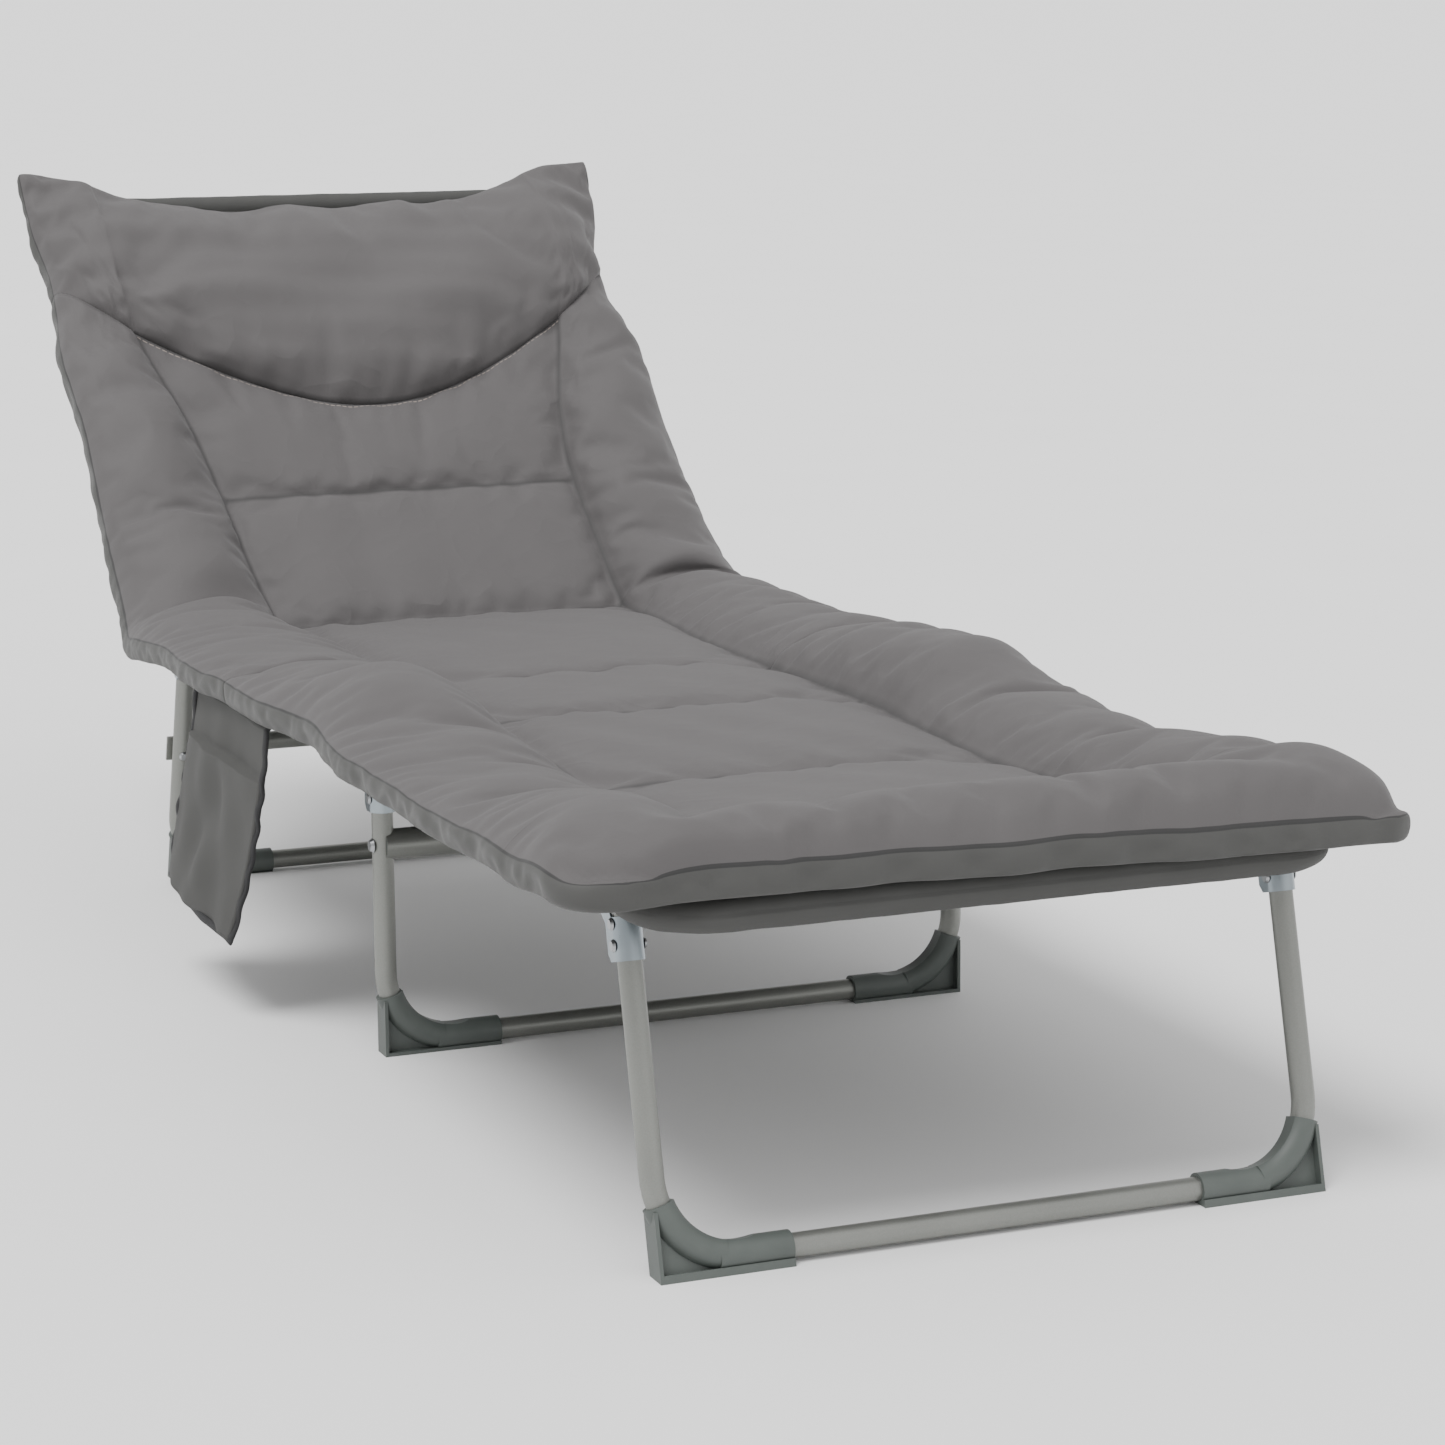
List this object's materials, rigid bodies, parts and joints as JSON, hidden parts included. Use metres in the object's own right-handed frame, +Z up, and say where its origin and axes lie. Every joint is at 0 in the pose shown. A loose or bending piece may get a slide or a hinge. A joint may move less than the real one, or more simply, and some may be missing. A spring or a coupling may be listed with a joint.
{
  "type": "folding sun lounger",
  "caption": "Three-section folding sun lounger with U-shaped tube legs, a reclining backrest, a padded mattress with head pillow and a side pocket.",
  "frame": {"origin": "on the floor, under the centre of the standing lounger", "axes": "+Z up; +Y along the lounger from the foot end to the head; +X across it, away from the side with the pocket"},
  "size_m": [0.721, 1.7618, 0.7174],
  "materials": {
    "frame_tube": "satin silver-grey powder coat",
    "zinc_plate": "bright zinc-plated pressed steel",
    "rivet_steel": "plated rivet and pin steel",
    "foot_plastic": "grey-green moulded plastic",
    "mattress_fabric": "grey woven polyester over hollow-fibre padding",
    "base_fabric": "dark grey coated Oxford cloth",
    "binding": "black woven binding tape"
  },
  "bodies": {
    "seat": {"seat_rail_left": "frame_tube", "seat_rail_right": "frame_tube", "seat_sling": "base_fabric", "foot_hinge_plate_left": "zinc_plate", "foot_hinge_plate_right": "zinc_plate", "foot_hinge_pins": "rivet_steel", "recline_cheeks_left": "zinc_plate", "recline_cheeks_right": "zinc_plate", "recline_pins": "rivet_steel", "recline_click_pins": "rivet_steel", "seat_rivets": "rivet_steel", "middle_leg_pivots": "rivet_steel", "rear_leg_pivots": "rivet_steel", "seat_pad": "mattress_fabric", "side_pocket": "base_fabric", "pocket_binding": "binding"},
    "foot_section": {"foot_frame": "frame_tube", "foot_end_sleeve": "base_fabric", "foot_sling": "base_fabric", "foot_hinge_leaf_left": "zinc_plate", "foot_hinge_leaf_right": "zinc_plate", "foot_leaf_rivets": "rivet_steel", "foot_pad": "mattress_fabric", "front_leg_pivots": "rivet_steel"},
    "backrest": {"back_frame": "frame_tube", "back_end_sleeve": "base_fabric", "back_sling": "base_fabric", "recline_arms_left": "zinc_plate", "recline_arms_right": "zinc_plate", "recline_bushes": "rivet_steel", "back_rivets": "rivet_steel", "back_pad": "mattress_fabric", "head_pillow": "mattress_fabric"},
    "front_leg": {"front_leg_tube": "frame_tube", "front_leg_bracket_left": "zinc_plate", "front_leg_bracket_right": "zinc_plate", "front_leg_rivets": "rivet_steel", "front_foot_left": "foot_plastic", "front_foot_right": "foot_plastic"},
    "middle_leg": {"middle_leg_tube": "frame_tube", "middle_leg_bracket_left": "zinc_plate", "middle_leg_bracket_right": "zinc_plate", "middle_leg_rivets": "rivet_steel", "middle_foot_left": "foot_plastic", "middle_foot_right": "foot_plastic", "middle_leg_brace": "frame_tube", "middle_brace_plugs": "foot_plastic", "middle_brace_screws": "rivet_steel"},
    "rear_leg": {"rear_leg_tube": "frame_tube", "rear_leg_bracket_left": "zinc_plate", "rear_leg_bracket_right": "zinc_plate", "rear_leg_rivets": "rivet_steel", "rear_foot_left": "foot_plastic", "rear_foot_right": "foot_plastic", "rear_leg_brace": "frame_tube", "rear_brace_rivets": "rivet_steel"}
  },
  "joints": [
    {"name": "foot_fold", "type": "hinge", "parent": "seat", "child": "foot_section", "pos_m": [0, -0.21788, 0.318], "axis": [-1, 0, 0], "range_deg": [0, 180], "deforming": ["foot_pad"]},
    {"name": "backrest_recline", "type": "hinge", "parent": "seat", "child": "backrest", "pos_m": [0, 0.47212, 0.302], "axis": [1, 0, 0], "range_deg": [-46, 134], "deforming": ["seat_pad", "back_pad", "head_pillow"]},
    {"name": "front_leg_fold", "type": "hinge", "parent": "foot_section", "child": "front_leg", "pos_m": [0, -0.74788, 0.274], "axis": [1, 0, 0], "range_deg": [0, 105]},
    {"name": "middle_leg_fold", "type": "hinge", "parent": "seat", "child": "middle_leg", "pos_m": [0, -0.17388, 0.274], "axis": [1, 0, 0], "range_deg": [0, 91]},
    {"name": "rear_leg_fold", "type": "hinge", "parent": "seat", "child": "rear_leg", "pos_m": [0, 0.40612, 0.274], "axis": [-1, 0, 0], "range_deg": [0, 106]}
  ]
}
